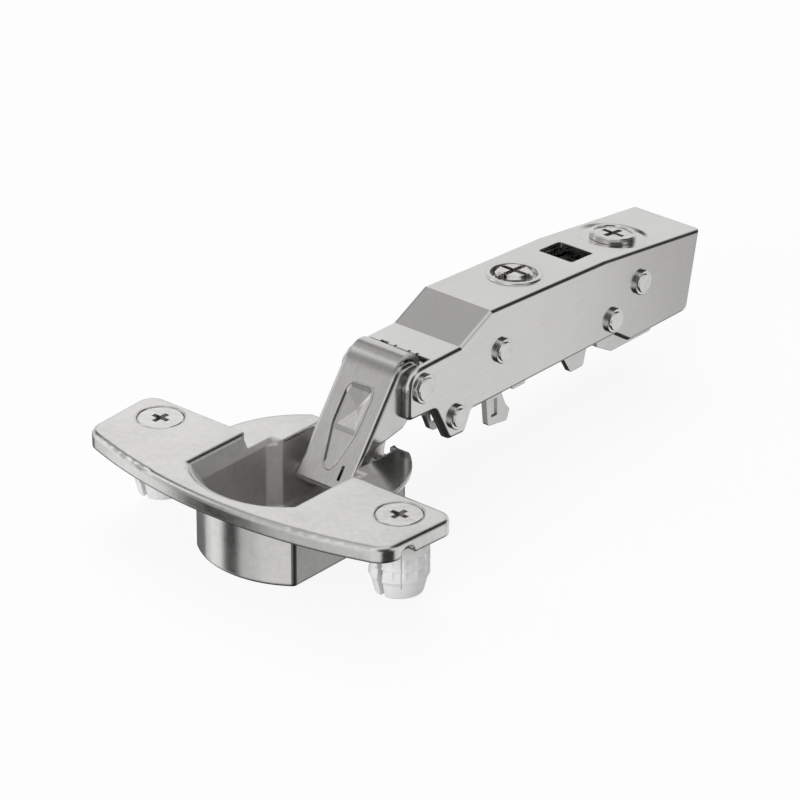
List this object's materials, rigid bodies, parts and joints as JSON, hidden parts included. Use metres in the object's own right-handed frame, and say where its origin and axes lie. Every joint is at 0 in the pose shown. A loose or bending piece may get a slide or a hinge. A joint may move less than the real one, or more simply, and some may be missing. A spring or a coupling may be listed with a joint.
{
  "type": "concealed cup hinge",
  "caption": "Concealed cabinet hinge: a die-cast cup for the door, a folded arm for the cabinet and two hidden levers between them, with side and depth adjustment.",
  "frame": {"origin": "centre of the cup boring, on the door's inner face", "axes": "+Z away from the door face, +Y along the hinge arm in the stored pose (door open by 90 degrees), X along the pivot axes"},
  "size_m": [0.0666, 0.1185, 0.0291],
  "materials": {
    "zinc_casting": "satin nickel plate on a zinc casting",
    "arm_steel": "satin nickel plate",
    "pressed_steel": "nickel plate",
    "steel_pin": "nickel plate",
    "steel_screw": "bright nickel plate",
    "spring_steel": "drawn wire",
    "nylon": "white nylon",
    "grey_plastic": "grey acetal"
  },
  "bodies": {
    "cup_body": {"cup": "zinc_casting", "cup_pin_outer": "steel_pin", "cup_pin_inner": "steel_pin", "cup_screw_left": "steel_screw", "cup_screw_right": "steel_screw", "dowel_left": "nylon", "dowel_right": "nylon"},
    "outer_link": {"outer_lever": "pressed_steel"},
    "inner_link": {"inner_lever": "pressed_steel"},
    "arm_body": {"arm": "arm_steel", "liner_left": "pressed_steel", "liner_right": "pressed_steel", "outer_axle": "steel_pin", "inner_axle": "steel_pin", "spring_rivet": "steel_pin", "clip_stop_rivet": "steel_pin", "clip_axle": "steel_pin", "closing_spring": "spring_steel", "spring_bobbin": "grey_plastic", "clip_spring": "spring_steel", "damper_cylinder": "grey_plastic"},
    "damper_piston": {"damper_rod": "steel_pin"},
    "plate_adapter": {"adapter": "pressed_steel"},
    "clip": {"clip_lever": "pressed_steel"},
    "side_adjuster": {"side_screw": "steel_screw"},
    "depth_adjuster": {"depth_cam": "steel_screw"}
  },
  "joints": [
    {"name": "door_swing", "type": "hinge", "parent": "cup_body", "child": "outer_link", "pos_m": [0, 0.009, -0.0066], "axis": [1, 0, 0], "range_deg": [-5.74, 103.44]},
    {"name": "arm_fold", "type": "hinge", "parent": "outer_link", "child": "arm_body", "pos_m": [0, 0.022, 0.0086], "axis": [1, 0, 0], "range_deg": [-13.46, 0.76]},
    {"name": "inner_fold", "type": "hinge", "parent": "cup_body", "child": "inner_link", "pos_m": [0, 0.013, -0.0029], "axis": [1, 0, 0], "range_deg": [-6.96, 125.18]},
    {"name": "damper_stroke", "type": "slide", "parent": "arm_body", "child": "damper_piston", "axis": [0, 1, 0], "range_m": [0, 0.0058], "stiffness_N_per_m": 20, "springref_m": -0.002},
    {"name": "depth_turn", "type": "hinge", "parent": "arm_body", "child": "depth_adjuster", "pos_m": [0, 0.0813, 0.01325], "axis": [0, 0.1185, 0.993], "range_deg": [-150, 150]},
    {"name": "depth_shift", "type": "slide", "parent": "arm_body", "child": "plate_adapter", "axis": [0, 1, 0], "range_m": [-0.0016, 0.0016]},
    {"name": "side_turn", "type": "hinge", "parent": "arm_body", "child": "side_adjuster", "pos_m": [0, 0.0544, 0.01545], "axis": [0, 0.0542, 0.9985], "range_deg": [-360, 360]},
    {"name": "clip_release", "type": "hinge", "parent": "arm_body", "child": "clip", "pos_m": [0, 0.07975, 0.0073], "axis": [1, 0, 0], "range_deg": [0, 12], "stiffness_Nm_per_rad": 0.02, "springref_deg": -11.46}
  ],
  "couplings": [
    {"joint": "arm_fold", "follows": "door_swing", "ratio": -0.13},
    {"joint": "inner_fold", "follows": "door_swing", "ratio": 1.21},
    {"joint": "depth_turn", "follows": "depth_shift", "rad_per_m": 1636.2}
  ]
}
